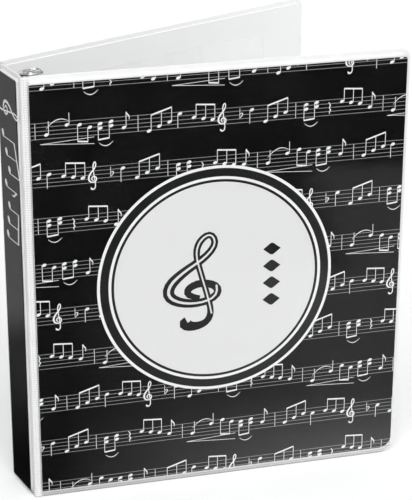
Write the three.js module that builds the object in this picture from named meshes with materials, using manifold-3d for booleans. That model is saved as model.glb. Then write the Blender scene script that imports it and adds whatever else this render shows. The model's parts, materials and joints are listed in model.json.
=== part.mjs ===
// A three-ring view binder, standing on its lower edge with both covers half open.
// Each cover and the spine is a board welded between an outer and an inner sheet of white vinyl, with a
// clear pocket outside for a printed sheet. A plated steel ring mechanism is riveted to the spine's board.
// Millimetres, +Z up. The spine lies across Y, the covers run out along +X.

import * as THREE from "three";
import { mergeVertices } from "three/addons/utils/BufferGeometryUtils.js";
import Module from "manifold-3d";

const wasm = await Module();
wasm.setup();

const DEGREE = Math.PI / 180;

// Overall sizes
const HEIGHT = 292;
const COVER_WIDTH = 252; // hinge line to free edge
const SPINE_WIDTH = 36.5; // hinge line to hinge line
const FRONT_OPENED = 13.14 * DEGREE; // past square with the spine
const BACK_OPENED = 10.45 * DEGREE;

// Sheets, and how they lie in a panel. A depth is measured outwards from the hinge line.
const BOARD = 2.2;
const VINYL = 0.4;
const FILM = 0.2;
const PAPER = 0.2;
const POCKET = 0.25;
const LAYER_GAP = 0.15;
const BOARD_INNER_DEPTH = -0.4;
const BOARD_OUTER_DEPTH = BOARD_INNER_DEPTH + BOARD;
const SKIN_DEPTH = BOARD_OUTER_DEPTH + LAYER_GAP + VINYL; // outer face of the outer vinyl
const INSERT_DEPTH = SKIN_DEPTH + LAYER_GAP + PAPER; // outer face of the printed sheet
const FILM_DEPTH = INSERT_DEPTH + LAYER_GAP + FILM; // outer face of the clear pocket
const LINING_DEPTH = -BOARD_INNER_DEPTH + LAYER_GAP + VINYL; // inner face of the lining, inwards
const POCKET_DEPTH = LINING_DEPTH + LAYER_GAP + POCKET; // inner face of the inner pocket, inwards

// Outline of a panel
const HINGE_MARGIN = FILM_DEPTH + LAYER_GAP; // lets a cover fold right back beside the spine
const WEB_GAP = 0.55; // the welded web is parted this far from the hinge line
const FREE_MARGIN = 2.5; // flat weld beyond the panel's face
const END_MARGIN = 2.5;
const CORNERS = { hinge: 2.4, freeBottom: 7, freeTop: 4.5 };
const WELD_CORNERS = { hinge: 0.8, freeBottom: 8, freeTop: 5.5 };
const BOARD_MARGIN = 0.8; // between the board's edge and the vinyl's wall
const SKIN_ROUND = 1.6;
const FILM_ROUND = 0.6;
const LINING_ROUND = 0.8;
const MOUTH_MARGIN = 3.2; // the clear pocket is open above this

// Printed sheets
const FRONT_INSERT = { side: 0.35, end: 5, corners: { hinge: 0.6, freeBottom: 8, freeTop: 2 } };
const SPINE_INSERT = { side: 0.7, end: 3.4, corners: { hinge: 0.6, freeBottom: 0.6, freeTop: 0.6 } };

// Inner pockets, from the hinge line and the lower edge
const INNER_POCKET = { start: 36, end: 216.4, bottom: 6, top: 273, corner: 1.5 };

// Ring mechanism. x is measured inwards from the plane of the hinge lines, y across the spine.
const RING_PITCH = 108; // holes of a letter sheet
const HOUSING_BASE_X = LINING_DEPTH + LAYER_GAP;
const RING_RADIUS = 12.7; // to the middle of the wire
const RING_CENTRE_X = HOUSING_BASE_X + 15.3;
const WIRE = 2.6;
const WIRE_BEND = 1.6;
const TIP_GAP = 0.3;
const TIP_PEG = { height: 0.8, root: 0.8, end: 0.35, clearance: 0.25, sunk: 0.3 };
const SHANK_Y = 5.6;
const SHANK_HEAD = { radius: 1.8, thick: 0.7, clearance: 0.35 };
const HOUSING_LENGTH = 268;
const HOUSING_HALF = 10.2;
const HOUSING_WALL = 0.8;
const HOUSING_SIDE = 2.5; // straight side below the arch
const HOUSING_ARCH = 4.1;
const LIP = { width: 1.5, height: 2, round: 0.8 };
const NOTCH = { inner: 4.7, floor: 3.5, clearance: 0.45 };
const PLATE = 0.8;
const PLATE_TILT = 6 * DEGREE; // closed, the plates' meeting edges lie this much lower
const PIVOT_Y = HOUSING_HALF - HOUSING_WALL - 0.7;
const PIVOT_X = HOUSING_BASE_X + 2.8;
const PLATE_LIP = 0.3; // plate beyond its pivot
const PLATE_MEETING_GAP = 0.2; // from each plate to the middle
const PLATE_LENGTH = 248;
const PLATE_NOSE_HALF = 5.1;
const RIVET_PITCH = RING_PITCH; // one rivet halfway between each two rings
const RIVET = { shaft: 2, dome: 3.3, domeHeight: 1.3, seat: 4, seatThick: 0.8, clearance: 0.3 };
const RIVET_WAY = 0.7; // room for a rivet between the plates

// Trigger levers, placed from the housing's end
const LEVER_PIVOT_X = HOUSING_BASE_X + 3.3;
const LEVER_PIVOT_Z = 3.6;
const LEVER = { thick: 0.8, baseHalf: 5.6, tabHalf: 6.2, tabStart: 7.2, tabTip: 21, tipRound: 3.4 };
const LEVER_NOSE = { half: 2.5, reach: 3.9 };
const LEVER_BARREL = 2.4;
const LEVER_SLIT = { gap: 0.35, below: 1.2 }; // beside the nose
const LEVER_BED = 0.75; // middle of the strip above the housing's base, where it passes under the barrel
const LEVER_BEND = [ // the strip's middle line from there, as (outwards, up) from bed and pin
  [0, -0.8],
  [0.5, 1.1],
  [1.8, 2.6],
  [3.8, 3.6],
  [6.2, 4.1],
];
const LEVER_TIP_RISE = 4.7;
const PIN = { radius: 1, headRadius: 1.6, head: 0.6, clearance: 0.25 };
const EAR = { thick: 0.8, half: 2.2, root: 7 };
const SIDE_CLEARANCE = 0.3;

const MIDDLE = HEIGHT / 2;
const WIDE = 1000; // longer than anything here
const PAST = 1; // a cut reaches this far beyond a surface
const ABOVE = 20; // a cut into the mechanism ends above all of it
const LEAST_RADIUS = 0.2;

// Colours and finishes
const finish = (color, roughness, metalness = 0, more = {}) => () =>
  new THREE.MeshStandardMaterial({ color, roughness, metalness, ...more });
const whiteVinyl = finish(0xf1f1ef, 0.42);
const greyboard = finish(0x9c9284, 0.95);
const clearFilm = finish(0xffffff, 0.12, 0, { transparent: true, opacity: 0.2 });
const frostedFilm = finish(0xf4f4f2, 0.35, 0, { transparent: true, opacity: 0.55 });
const printedPaper = finish(0x17171a, 0.6);
const nickel = finish(0xc7cacd, 0.22, 1);

// A solid for cutting and joining, from a closed geometry
function solid(geometry) {
  const bare = geometry.clone();
  bare.deleteAttribute("normal");
  bare.deleteAttribute("uv");
  const merged = mergeVertices(bare, 1e-4);
  const { array } = merged.attributes.position;
  return new wasm.Manifold(
    new wasm.Mesh({ numProp: 3, vertProperties: array, triVerts: new Uint32Array(merged.index.array) }),
  );
}

function geometryOf(made) {
  const { vertProperties, triVerts } = made.getMesh();
  const geometry = new THREE.BufferGeometry();
  geometry.setAttribute("position", new THREE.BufferAttribute(vertProperties, 3));
  geometry.setIndex(new THREE.BufferAttribute(triVerts, 1));
  geometry.computeVertexNormals();
  return geometry;
}

function piece(name, made, material) {
  const mesh = new THREE.Mesh(geometryOf(made), material());
  mesh.name = name;
  return mesh;
}

function group(...children) {
  const made = new THREE.Group();
  made.add(...children);
  return made;
}

const joined = (solids) => solids.reduce((whole, next) => whole.add(next));
const without = (body, cuts) => cuts.reduce((left, cut) => left.subtract(cut), body);

function block(x0, x1, y0, y1, z0, z1) {
  const box = new THREE.BoxGeometry(x1 - x0, y1 - y0, z1 - z0);
  return solid(box.translate((x0 + x1) / 2, (y0 + y1) / 2, (z0 + z1) / 2));
}

// A cylinder or cone along X or Y from one end to the other
function rod(axis, at, from, to, radius, endRadius = radius, sides = 16) {
  const cylinder = new THREE.CylinderGeometry(endRadius, radius, to - from, sides);
  if (axis === "x") cylinder.rotateZ(-Math.PI / 2);
  const middle = (from + to) / 2;
  const place = axis === "x" ? [middle, at.y, at.z] : [at.x, middle, at.z];
  return solid(cylinder.translate(...place));
}

// Points round part of an ellipse
function arc(x, y, radiusX, radiusY, from, to, steps) {
  return Array.from({ length: steps + 1 }, (_, i) => {
    const angle = from + ((to - from) * i) / steps;
    return new THREE.Vector2(x + radiusX * Math.cos(angle), y + radiusY * Math.sin(angle));
  });
}

// A rectangle whose corners are rounded one by one, anticlockwise from the lower left
function roundedRectangle(x0, x1, y0, y1, radii, steps = 5) {
  const [a, b, c, d] = radii;
  return new THREE.Shape([
    ...arc(x0 + a, y0 + a, a, a, Math.PI, 1.5 * Math.PI, steps),
    ...arc(x1 - b, y0 + b, b, b, 1.5 * Math.PI, 2 * Math.PI, steps),
    ...arc(x1 - c, y1 - c, c, c, 0, 0.5 * Math.PI, steps),
    ...arc(x0 + d, y1 - d, d, d, 0.5 * Math.PI, Math.PI, steps),
  ]);
}

// Panels. In a panel's own frame X runs from its hinge line, Z is up and -Y faces outwards.

// The outline of a panel's face, drawn in by an inset
function faceOutline(panel, inset, corners = CORNERS, ends = END_MARGIN) {
  const farMargin = panel.free ? FREE_MARGIN : HINGE_MARGIN;
  const shrink = (radius) => Math.max(radius - inset, LEAST_RADIUS);
  const far = panel.free ? [corners.freeBottom, corners.freeTop] : [corners.hinge, corners.hinge];
  return roundedRectangle(
    HINGE_MARGIN + inset,
    panel.width - farMargin - inset,
    ends + inset,
    HEIGHT - ends - inset,
    [corners.hinge, far[0], far[1], corners.hinge].map(shrink),
  );
}

// A flat sheet between two depths
function sheet(outline, innerDepth, outerDepth) {
  const geometry = new THREE.ExtrudeGeometry(outline, { depth: outerDepth - innerDepth, bevelEnabled: false });
  return solid(geometry.rotateX(Math.PI / 2).translate(0, -innerDepth, 0));
}

// A pad with rounded edges that reaches equally far to both sides of the hinge line's plane
function pad(outline, depth, round, segments) {
  const geometry = new THREE.ExtrudeGeometry(outline, {
    depth: 2 * (depth - round),
    bevelThickness: round,
    bevelSize: round,
    bevelOffset: -round,
    bevelSegments: segments,
  });
  return solid(geometry.rotateX(Math.PI / 2).translate(0, depth - round, 0));
}

const between = (panel, innerDepth, outerDepth) =>
  block(-PAST, panel.width + PAST, -outerDepth, -innerDepth, -PAST, HEIGHT + PAST);

// One vinyl sheet of a panel: raised over the board, with a flat weld all round
function vinylSheet(panel, depth, round, segments, side) {
  const outer = FILM + LAYER_GAP;
  const weld = [LAYER_GAP / 2, LAYER_GAP / 2 + VINYL];
  const facing = ([a, b]) => (side > 0 ? [a, b] : [-b, -a]);
  const farCorners = panel.free
    ? [WELD_CORNERS.freeBottom, WELD_CORNERS.freeTop]
    : [WELD_CORNERS.hinge, WELD_CORNERS.hinge];
  const rim = roundedRectangle(
    WEB_GAP,
    panel.width - (panel.free ? 0 : WEB_GAP),
    0,
    HEIGHT,
    [WELD_CORNERS.hinge, ...farCorners, WELD_CORNERS.hinge],
  );
  const raised = pad(faceOutline(panel, outer), depth, round, segments).intersect(
    between(panel, ...facing([weld[0], depth + PAST])),
  );
  const hollow = pad(faceOutline(panel, outer + VINYL), depth - VINYL, round - VINYL, segments);
  return raised.add(sheet(rim, ...facing(weld))).subtract(hollow);
}

// The clear pocket: closed below and at both sides, open at the top
function clearPocket(panel) {
  const outside = pad(faceOutline(panel, 0), FILM_DEPTH, FILM_ROUND, 2);
  const inside = pad(faceOutline(panel, FILM), FILM_DEPTH - FILM, FILM_ROUND - FILM, 2);
  const skirtEnd = LAYER_GAP * 1.5 + VINYL;
  const kept = between(panel, skirtEnd, FILM_DEPTH + PAST).intersect(
    block(-PAST, panel.width + PAST, -WIDE, WIDE, -PAST, HEIGHT - MOUTH_MARGIN),
  );
  return outside.subtract(inside).intersect(kept);
}

function insertSheet(panel, insert) {
  const ends = insert.end - insert.side;
  const corners = Object.fromEntries(
    Object.entries(insert.corners).map(([corner, radius]) => [corner, radius + insert.side]),
  );
  return sheet(faceOutline(panel, insert.side, corners, ends), INSERT_DEPTH - PAPER, INSERT_DEPTH);
}

function board(panel) {
  const inset = FILM + LAYER_GAP + VINYL + BOARD_MARGIN;
  return sheet(faceOutline(panel, inset), BOARD_INNER_DEPTH, BOARD_OUTER_DEPTH);
}

const outerVinyl = (panel) => vinylSheet(panel, SKIN_DEPTH, SKIN_ROUND, 3, 1);
const lining = (panel) => vinylSheet(panel, LINING_DEPTH, LINING_ROUND, 2, -1);

function innerPocket() {
  const { start, end, bottom, top, corner } = INNER_POCKET;
  const outline = roundedRectangle(start, end, bottom, top, [corner, corner, corner, corner], 3);
  return sheet(outline, -POCKET_DEPTH, -POCKET_DEPTH + POCKET);
}

function cover(name) {
  const panel = { width: COVER_WIDTH, free: true };
  return group(
    piece(`${name}_board`, board(panel), greyboard),
    piece(`${name}_outer_vinyl`, outerVinyl(panel), whiteVinyl),
    piece(`${name}_lining`, lining(panel), whiteVinyl),
    piece(`${name}_clear_pocket`, clearPocket(panel), clearFilm),
    piece(`${name}_inner_pocket`, innerPocket(), frostedFilm),
  );
}

function frontCover() {
  const made = cover("front");
  const panel = { width: COVER_WIDTH, free: true };
  made.add(piece("front_insert", insertSheet(panel, FRONT_INSERT), printedPaper));
  made.position.y = -SPINE_WIDTH / 2;
  made.rotation.z = -FRONT_OPENED;
  return made;
}

function backCover() {
  const made = cover("back");
  made.scale.y = -1;
  made.position.y = SPINE_WIDTH / 2;
  made.rotation.z = BACK_OPENED;
  return made;
}

// The spine's panel, whose board and lining are pierced for the rivets
function spine() {
  const panel = { width: SPINE_WIDTH, free: false };
  const centres = rivetHeights().map((z) => ({ z, x: SPINE_WIDTH / 2 }));
  const hole = RIVET.shaft + RIVET.clearance;
  const holes = centres.map((at) => rod("y", at, -BOARD_OUTER_DEPTH - PAST, LINING_DEPTH + PAST, hole));
  const seatFloor = BOARD_OUTER_DEPTH - RIVET.seatThick - RIVET.clearance;
  const seats = centres.map((at) =>
    rod("y", at, -BOARD_OUTER_DEPTH - PAST, -seatFloor, RIVET.seat + RIVET.clearance),
  );
  const made = group(
    piece("spine_board", without(board(panel), [...holes, ...seats]), greyboard),
    piece("spine_outer_vinyl", outerVinyl(panel), whiteVinyl),
    piece("spine_lining", without(lining(panel), holes), whiteVinyl),
    piece("spine_clear_pocket", clearPocket(panel), clearFilm),
    piece("spine_insert", insertSheet(panel, SPINE_INSERT), printedPaper),
  );
  made.position.y = SPINE_WIDTH / 2;
  made.rotation.z = -Math.PI / 2;
  return made;
}

// Ring mechanism

function rivetHeights() {
  return [-0.5, 0.5].map((step) => MIDDLE + step * RIVET_PITCH);
}

const RING_NAMES = { bottom: -1, middle: 0, top: 1 };
const ringHeight = (step) => MIDDLE + step * RING_PITCH;

// The housing: an arched channel with a hem rolled in along each side, ears at the ends for the lever
// pins, and a notch for each half ring
function housingSection() {
  const base = HOUSING_BASE_X;
  const spring = base + HOUSING_SIDE;
  const inside = HOUSING_HALF - HOUSING_WALL;
  const hemInner = inside - LIP.width;
  const hemTop = base + LIP.height;
  const { round } = LIP;
  const side = [
    new THREE.Vector2(HOUSING_HALF, spring),
    ...arc(HOUSING_HALF - round, base + round, round, round, 0, -0.5 * Math.PI, 3),
    ...arc(hemInner + round, base + round, round, round, -0.5 * Math.PI, -Math.PI, 3),
    ...arc(hemInner + round, hemTop - round, round, round, Math.PI, 0.5 * Math.PI, 3),
    new THREE.Vector2(inside, hemTop),
  ];
  const mirrored = side.map((point) => new THREE.Vector2(-point.x, point.y)).reverse();
  const under = arc(0, spring, inside, HOUSING_ARCH - HOUSING_WALL, 0, Math.PI, 18);
  const crown = arc(0, spring, HOUSING_HALF, HOUSING_ARCH, Math.PI, 0, 18).slice(1, -1);
  return new THREE.Shape([...side, ...under, ...mirrored, ...crown]);
}

// Stands a shape drawn as (y, x) upright between two heights
function upright(outline, from, to) {
  const geometry = new THREE.ExtrudeGeometry(outline, { depth: to - from, bevelEnabled: false });
  const swap = new THREE.Matrix4().makeBasis(
    new THREE.Vector3(0, 1, 0),
    new THREE.Vector3(1, 0, 0),
    new THREE.Vector3(0, 0, -1),
  );
  return solid(geometry.applyMatrix4(swap).translate(0, 0, to));
}

const housingEnd = MIDDLE + HOUSING_LENGTH / 2;
const leverPivot = { x: LEVER_PIVOT_X, z: housingEnd + LEVER_PIVOT_Z };
const earInner = LEVER.baseHalf + SIDE_CLEARANCE;
const ends = [1, -1];
const atEnd = (z, end) => MIDDLE + end * (z - MIDDLE);

function ear(side, end) {
  const outline = new THREE.Shape([
    new THREE.Vector2(leverPivot.x + EAR.half, leverPivot.z - EAR.root - LEVER_PIVOT_Z),
    ...arc(leverPivot.x, leverPivot.z, EAR.half, EAR.half, 0, Math.PI, 8),
    new THREE.Vector2(leverPivot.x - EAR.half, leverPivot.z - EAR.root - LEVER_PIVOT_Z),
  ]);
  const geometry = new THREE.ExtrudeGeometry(outline, { depth: EAR.thick, bevelEnabled: false });
  geometry.rotateX(Math.PI / 2).translate(0, side > 0 ? earInner + EAR.thick : -earInner, 0);
  const made = solid(geometry);
  return end > 0 ? made : made.mirror([0, 0, 1]).translate(0, 0, HEIGHT);
}

function housing() {
  const channel = upright(housingSection(), MIDDLE - HOUSING_LENGTH / 2, housingEnd);
  const ears = ends.flatMap((end) => ends.map((side) => ear(side, end)));
  const halfNotch = WIRE / 2 + NOTCH.clearance;
  const notches = Object.values(RING_NAMES).flatMap((step) =>
    ends.map((side) => {
      const across = [side * NOTCH.inner, side * (HOUSING_HALF + PAST)].sort((a, b) => a - b);
      const z = ringHeight(step);
      return block(HOUSING_BASE_X + NOTCH.floor, ABOVE, ...across, z - halfNotch, z + halfNotch);
    }),
  );
  const rivetHoles = rivetHeights().map((z) =>
    rod("x", { y: 0, z }, HOUSING_BASE_X, ABOVE, RIVET.shaft + RIVET.clearance),
  );
  const pinHoles = ends.map((end) => {
    const at = { x: leverPivot.x, z: atEnd(leverPivot.z, end) };
    return rod("y", at, -HOUSING_HALF, HOUSING_HALF, PIN.radius + PIN.clearance);
  });
  return without(joined([channel, ...ears]), [...notches, ...rivetHoles, ...pinHoles]);
}

// A hinge plate, drawn flat towards +Y: it rocks on its outer edge inside the housing and narrows to a
// nose at each end, where the levers lift it
function hingePlate() {
  const inner = PLATE_MEETING_GAP;
  const outer = PIVOT_Y + PLATE_LIP;
  const half = PLATE_LENGTH / 2;
  const noseEnd = leverPivot.z - LEVER_BARREL - SIDE_CLEARANCE - MIDDLE;
  const outline = new THREE.Shape(
    [
      [inner, -noseEnd],
      [PLATE_NOSE_HALF, -noseEnd],
      [PLATE_NOSE_HALF, -half],
      [outer, -half],
      [outer, half],
      [PLATE_NOSE_HALF, half],
      [PLATE_NOSE_HALF, noseEnd],
      [inner, noseEnd],
    ].map(([y, z]) => new THREE.Vector2(y, MIDDLE + z)),
  );
  const geometry = new THREE.ExtrudeGeometry(outline, { depth: PLATE, bevelEnabled: false });
  const stand = new THREE.Matrix4().makeBasis(
    new THREE.Vector3(0, 1, 0),
    new THREE.Vector3(0, 0, 1),
    new THREE.Vector3(1, 0, 0),
  );
  const flat = solid(geometry.applyMatrix4(stand).translate(PIVOT_X - PLATE / 2, 0, 0));
  const shankHoles = Object.values(RING_NAMES).map((step) =>
    rod("x", { y: SHANK_Y, z: ringHeight(step) }, 0, ABOVE, WIRE / 2 + SHANK_HEAD.clearance),
  );
  const rivetWays = rivetHeights().map((z) => rod("x", { y: 0, z }, 0, ABOVE, RIVET.shaft + RIVET_WAY));
  return without(flat, [...shankHoles, ...rivetWays]);
}

// The middle line of a half ring towards +Y: straight up through its plate, a short bend outwards, then
// round to the split
class HalfRingPath extends THREE.Curve {
  constructor() {
    super();
    const bendY = SHANK_Y + WIRE_BEND;
    const rise = Math.sqrt((RING_RADIUS + WIRE_BEND) ** 2 - bendY ** 2);
    this.bend = { y: bendY, x: RING_CENTRE_X - rise };
    this.turn = Math.atan2(rise, bendY); // how far the bend turns
    this.from = -this.turn; // where the round part starts, from +Y towards +X
    this.to = Math.PI / 2 - Math.asin(TIP_GAP / 2 / RING_RADIUS);
    this.start = PIVOT_X - PLATE / 2 - (PIVOT_Y - SHANK_Y) * Math.sin(PLATE_TILT) - SHANK_HEAD.clearance;
    this.lengths = [this.bend.x - this.start, WIRE_BEND * this.turn, RING_RADIUS * (this.to - this.from)];
    this.total = this.lengths.reduce((sum, length) => sum + length);
  }

  getPoint(t, target = new THREE.Vector3()) {
    const along = t * this.total;
    const [shank, bend] = this.lengths;
    if (along <= shank) return target.set(this.start + along, SHANK_Y, 0);
    if (along <= shank + bend) {
      const angle = Math.PI - (along - shank) / WIRE_BEND;
      const { x, y } = this.bend;
      return target.set(x + WIRE_BEND * Math.sin(angle), y + WIRE_BEND * Math.cos(angle), 0);
    }
    const angle = this.from + (along - shank - bend) / RING_RADIUS;
    return target.set(RING_CENTRE_X + RING_RADIUS * Math.sin(angle), RING_RADIUS * Math.cos(angle), 0);
  }
}

// A half ring: the wire, its riveted head below the plate, and a peg or a socket at the split
function halfRing(pegged) {
  const path = new HalfRingPath();
  const section = new THREE.Shape(arc(0, 0, WIRE / 2, WIRE / 2, 0, 2 * Math.PI, 10).slice(0, -1));
  const wire = solid(new THREE.ExtrudeGeometry(section, { steps: 26, extrudePath: path }));
  const headBase = path.start - SHANK_HEAD.thick;
  const head = rod("x", { y: SHANK_Y, z: 0 }, headBase, path.start, SHANK_HEAD.radius);
  const tip = { x: RING_CENTRE_X + RING_RADIUS, z: 0 };
  const { height, root, end, clearance, sunk } = TIP_PEG;
  const face = TIP_GAP / 2;
  if (pegged) {
    return wire.add(head).add(rod("y", tip, face - height, face + sunk, end, root, 10));
  }
  const wider = [end + clearance, root + clearance];
  return wire.add(head).subtract(rod("y", tip, face - sunk, face + height, ...wider.reverse(), 10));
}

function halfRings(name, pegged) {
  return Object.entries(RING_NAMES).map(([place, step]) => {
    const mesh = piece(`ring_${place}_${name}`, halfRing(pegged), nickel);
    mesh.position.z = ringHeight(step);
    return mesh;
  });
}

// A hinge plate with its three half rings, drawn towards +Y
function ringSide(name, pegged) {
  const plate = piece(`hinge_plate_${name}`, hingePlate(), nickel);
  const pivot = group(plate);
  plate.position.set(-PIVOT_X, -PIVOT_Y, 0);
  pivot.position.set(PIVOT_X, PIVOT_Y, 0);
  pivot.rotation.z = -PLATE_TILT;
  return group(pivot, ...halfRings(name, pegged));
}

// A trigger lever at the top end: a nose under the plates, a barrel round the pin and a broad tab
function lever() {
  const { x, z } = leverPivot;
  const bed = HOUSING_BASE_X + LEVER_BED;
  const middleLine = new THREE.CatmullRomCurve3(
    [
      [bed, -LEVER_NOSE.reach],
      ...LEVER_BEND.map(([across, up]) => [bed + across, up]),
      [LEVER.tabTip, LEVER_TIP_RISE],
    ].map(([across, up]) => new THREE.Vector3(across, z + up, 0)),
    false,
    "centripetal",
  );
  const stations = 20;
  const edge = (side) =>
    Array.from({ length: stations + 1 }, (_, i) => {
      const point = middleLine.getPointAt(i / stations);
      const along = middleLine.getTangentAt(i / stations);
      const offset = (side * LEVER.thick) / 2;
      return new THREE.Vector2(point.x - along.y * offset, point.y + along.x * offset);
    });
  const profile = new THREE.Shape([...edge(-1), ...edge(1).reverse()]);
  const strip = new THREE.ExtrudeGeometry(profile, { depth: 2 * LEVER.tabHalf, bevelEnabled: false });
  strip.rotateX(Math.PI / 2).translate(0, LEVER.tabHalf, 0);
  const { baseHalf, tabHalf, tabStart, tabTip, tipRound } = LEVER;
  const plan = new THREE.Shape([
    new THREE.Vector2(0, -baseHalf),
    new THREE.Vector2(tabStart, -baseHalf),
    new THREE.Vector2(tabStart + 1, -tabHalf),
    ...arc(tabTip - tipRound, tipRound - tabHalf, tipRound, tipRound, -0.5 * Math.PI, 0, 6),
    ...arc(tabTip - tipRound, tabHalf - tipRound, tipRound, tipRound, 0, 0.5 * Math.PI, 6),
    new THREE.Vector2(tabStart + 1, tabHalf),
    new THREE.Vector2(tabStart, baseHalf),
    new THREE.Vector2(0, baseHalf),
  ]);
  const template = solid(
    new THREE.ExtrudeGeometry(plan, { depth: 2 * ABOVE, bevelEnabled: false }).translate(0, 0, z - ABOVE),
  );
  const barrel = rod("y", leverPivot, -baseHalf, baseHalf, LEVER_BARREL);
  const besideNose = ends.map((side) => {
    const across = [side * LEVER_NOSE.half, side * (tabHalf + PAST)].sort((a, b) => a - b);
    return block(0, x - LEVER_BARREL + LEVER_SLIT.gap, ...across, z - ABOVE, z - LEVER_SLIT.below);
  });
  const bore = rod("y", leverPivot, -WIDE, WIDE, PIN.radius + PIN.clearance);
  return without(solid(strip).intersect(template).add(barrel), [...besideNose, bore]);
}

function leverPin() {
  const { radius, headRadius, head, clearance } = PIN;
  const reach = earInner + EAR.thick + clearance;
  const heads = [[reach, reach + head], [-reach - head, -reach]].map(([from, to]) =>
    rod("y", leverPivot, from, to, headRadius),
  );
  return joined([rod("y", leverPivot, -reach - head / 2, reach + head / 2, radius), ...heads]);
}

// A rivet: a flat seat let into the outer side of the board, a shaft, and a dome over the housing's crown
function rivet() {
  const seatTop = RIVET.clearance / 2 - BOARD_OUTER_DEPTH;
  const domeBase = HOUSING_BASE_X + HOUSING_SIDE + HOUSING_ARCH + RIVET.clearance;
  const dome = arc(0, domeBase, RIVET.dome, RIVET.domeHeight, 0, 0.5 * Math.PI, 5);
  dome[dome.length - 1].x = 0;
  const profile = [
    new THREE.Vector2(0, seatTop),
    new THREE.Vector2(RIVET.seat, seatTop),
    new THREE.Vector2(RIVET.seat, seatTop + RIVET.seatThick),
    new THREE.Vector2(RIVET.shaft, seatTop + RIVET.seatThick),
    new THREE.Vector2(RIVET.shaft, domeBase),
    ...dome,
  ];
  return solid(new THREE.LatheGeometry(profile, 20).rotateZ(-Math.PI / 2));
}

function mechanism() {
  const frontSide = ringSide("front", true);
  frontSide.scale.y = -1;
  const topEnd = group(piece("lever_top", lever(), nickel), piece("lever_pin_top", leverPin(), nickel));
  const bottomEnd = group(
    piece("lever_bottom", lever(), nickel),
    piece("lever_pin_bottom", leverPin(), nickel),
  );
  bottomEnd.scale.z = -1;
  bottomEnd.position.z = HEIGHT;
  const rivets = rivetHeights().map((z, i) => {
    const mesh = piece(["rivet_lower", "rivet_upper"][i], rivet(), nickel);
    mesh.position.z = z;
    return mesh;
  });
  const casing = piece("ring_housing", housing(), nickel);
  return group(casing, frontSide, ringSide("back", false), topEnd, bottomEnd, ...rivets);
}

// The whole binder, standing centred on the origin
const binder = group(frontCover(), spine(), backCover(), mechanism());
const box = new THREE.Box3().setFromObject(binder, true);
const centre = box.getCenter(new THREE.Vector3());
binder.position.set(-centre.x, -centre.y, -box.min.z);

export default binder;
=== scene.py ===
"""A three-ring view binder with a printed front sheet, standing half open on a pale floor."""

import json
import math
import random

import bmesh
import bpy
from mathutils import Matrix, Vector


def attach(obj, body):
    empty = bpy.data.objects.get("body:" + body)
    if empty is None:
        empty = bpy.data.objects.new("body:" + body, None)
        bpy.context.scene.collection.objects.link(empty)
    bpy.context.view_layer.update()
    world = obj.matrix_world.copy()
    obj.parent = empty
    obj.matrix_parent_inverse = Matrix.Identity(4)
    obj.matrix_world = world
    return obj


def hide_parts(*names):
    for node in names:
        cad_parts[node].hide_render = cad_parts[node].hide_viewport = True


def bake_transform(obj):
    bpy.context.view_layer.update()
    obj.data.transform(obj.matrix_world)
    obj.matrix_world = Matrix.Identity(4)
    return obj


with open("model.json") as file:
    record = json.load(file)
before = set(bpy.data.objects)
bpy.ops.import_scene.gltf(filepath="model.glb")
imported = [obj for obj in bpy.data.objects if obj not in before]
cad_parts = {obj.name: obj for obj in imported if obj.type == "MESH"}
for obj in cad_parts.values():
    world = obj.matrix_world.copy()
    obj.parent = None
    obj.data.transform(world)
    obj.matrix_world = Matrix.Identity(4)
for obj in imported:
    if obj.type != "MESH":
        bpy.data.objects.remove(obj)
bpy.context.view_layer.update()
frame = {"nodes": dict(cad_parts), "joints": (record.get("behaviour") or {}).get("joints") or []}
scene = bpy.context.scene
joints = {joint["name"]: joint for joint in frame["joints"]}

MM = 0.001

# Panels, in millimetres: u runs from the hinge line, z is up and depth is measured outwards
HEIGHT = 292
COVER_WIDTH = 252
SPINE_WIDTH = 36.5
FRONT_OPENED = math.radians(13.14)
BACK_OPENED = math.radians(10.45)
VINYL = 0.4
WELD_DEPTH = 0.475
SKIN_DEPTH = 2.35
SKIN_ROUND = 1.6
LINING_DEPTH = 0.95
LINING_ROUND = 0.45
PAPER_DEPTH = 2.7
FILM = 0.2
FILM_DEPTH = 3.05
FILM_ROUND = 0.6
FILM_SKIRT = 0.65
FILM_MOUTH = 288.8
PANEL_MARGIN = {"hinge": 3.2, "free": 2.5, "end": 2.5}
PANEL_CORNERS = {"hinge": 2.4, "free_bottom": 7.0, "free_top": 4.5}
SKIN_INSET = 0.35
WELD_WIDTH = 2.85

# Steps from an edge inwards, each (width, lift)
WELD_STEPS = [(0.04, 0.08), (0.08, 0.04), (0.75, 0), (0.12, -0.09), (0.3, 0), (0.12, 0.09),
              (1.1, 0), (0.24, 0.06)]
POCKET_STEPS = [(0.1, 0.1), (1.0, 0), (0.2, -0.06), (0.6, 0), (0.2, 0.06), (1.2, 0), (0.6, 0.14)]
PLATEAU = [(0.12, 0)] * 2  # two flat rings, which keep the face inside them flat to the light

# Inner pocket
POCKET = {"u0": 36, "u1": 216.4, "z0": 6, "z1": 273}
POCKET_CORNER = 5
POCKET_FILM = 0.12

# Welded webs: an outer one bends round the hinge line, an inner one round a line inside the binder
OUTER_FOLD = 0.95
OUTER_REACH = 3.12
INNER_FOLD = 0.62
INNER_BEND = 1.0
INNER_REACH = 1.6
WEB_WALL = 0.3
WEB_COLUMNS = 20
BAND_MIDDLE = -0.25
BAND_HALF = 1.45
CREASE_END = 1.95
CREASE_DROP = -0.34
RIB_LIFT = 0.36
RIB_ROWS = 364
RIB_START = 0.35
RIB_ROW = (HEIGHT - 2 * RIB_START) / RIB_ROWS
# RIB_PHASE places the web's painted light and shade: lightest on the raised odd rows, darkest in
# the grooves
RIB_PHASE = math.pi / 2 - math.pi * (RIB_START + RIB_ROW) / RIB_ROW  # brightest on the odd rows

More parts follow.
